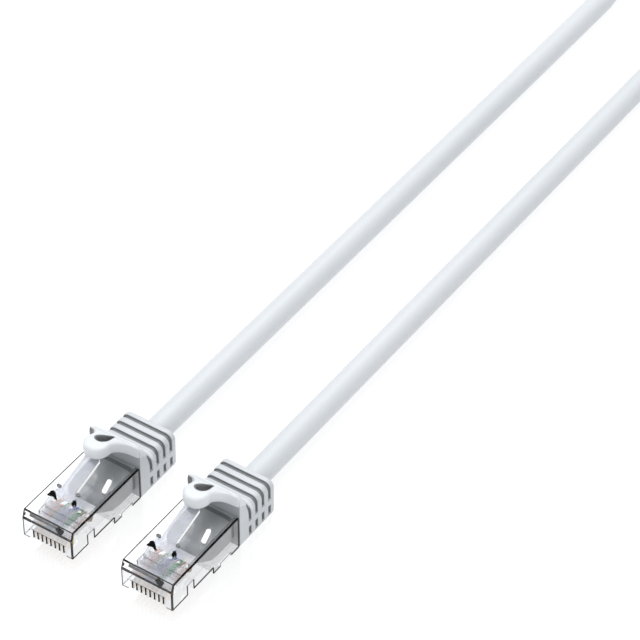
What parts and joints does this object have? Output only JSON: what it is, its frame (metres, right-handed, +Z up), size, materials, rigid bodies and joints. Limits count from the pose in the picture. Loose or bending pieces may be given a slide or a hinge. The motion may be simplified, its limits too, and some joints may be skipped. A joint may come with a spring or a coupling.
{
  "type": "ethernet patch cable",
  "caption": "Round network patch cable with a clear modular plug, ribbed boot and snag guard over the latch at each end; spare length folded into a tied hank.",
  "frame": {"origin": "middle of the two plug assemblies' bounding box (plugs with boots, without the free cable), on the surface they lie on", "axes": "+Y from the plugs' noses towards their boots and the cable, +X across the pair from plug a to plug b, +Z up, latches on top"},
  "size_m": [0.0494, 0.3169, 0.0164],
  "materials": {
    "clear_housing": "clear moulded polycarbonate",
    "clear_latch": "clear moulded polycarbonate",
    "gold_contacts": "gold-plated phosphor bronze",
    "clear_load_bar": "clear moulded polycarbonate",
    "wire_orange": "smooth wire insulation",
    "wire_green": "smooth wire insulation",
    "wire_blue": "smooth wire insulation",
    "wire_brown": "smooth wire insulation",
    "copper": "bare stranded copper",
    "cable_jacket": "light grey-white satin PVC",
    "boot_plastic": "light grey-white satin PVC",
    "guard_plastic": "light grey-white satin PVC",
    "tie_plastic": "soft reusable strap"
  },
  "bodies": {
    "cable": {"housing_a": "clear_housing", "contacts_a": "gold_contacts", "load_bar_a": "clear_load_bar", "wires_orange_a": "wire_orange", "wires_green_a": "wire_green", "wires_blue_a": "wire_blue", "wires_brown_a": "wire_brown", "copper_cores_a": "copper", "jacket_end_a": "cable_jacket", "boot_a": "boot_plastic", "housing_b": "clear_housing", "contacts_b": "gold_contacts", "load_bar_b": "clear_load_bar", "wires_orange_b": "wire_orange", "wires_green_b": "wire_green", "wires_blue_b": "wire_blue", "wires_brown_b": "wire_brown", "copper_cores_b": "copper", "jacket_end_b": "cable_jacket", "boot_b": "boot_plastic", "cable_run_a": "cable_jacket", "cable_run_b": "cable_jacket", "cable_hank": "cable_jacket", "cable_tie": "tie_plastic"},
    "latch_a": {"latch_a": "clear_latch"},
    "latch_b": {"latch_b": "clear_latch"},
    "guard_a": {"snag_guard_a": "guard_plastic"},
    "guard_b": {"snag_guard_b": "guard_plastic"}
  },
  "joints": [
    {"name": "guard_a_press", "type": "hinge", "parent": "cable", "child": "guard_a", "pos_m": [-0.0116, 0.0045, 0.0117], "axis": [1, 0, 0], "range_deg": [0, 28], "stiffness_Nm_per_rad": 0.004},
    {"name": "latch_a_press", "type": "hinge", "parent": "cable", "child": "latch_a", "pos_m": [-0.0116, -0.0157, 0.008], "axis": [-1, 0, 0], "range_deg": [0, 14], "stiffness_Nm_per_rad": 0.004},
    {"name": "guard_b_press", "type": "hinge", "parent": "cable", "child": "guard_b", "pos_m": [0.0116, 0.0045, 0.0117], "axis": [1, 0, 0], "range_deg": [0, 28], "stiffness_Nm_per_rad": 0.004},
    {"name": "latch_b_press", "type": "hinge", "parent": "cable", "child": "latch_b", "pos_m": [0.0116, -0.0157, 0.008], "axis": [-1, 0, 0], "range_deg": [0, 14], "stiffness_Nm_per_rad": 0.004}
  ],
  "couplings": [
    {"joint": "latch_a_press", "follows": "guard_a_press", "ratio": 0.5},
    {"joint": "latch_b_press", "follows": "guard_b_press", "ratio": 0.5}
  ]
}
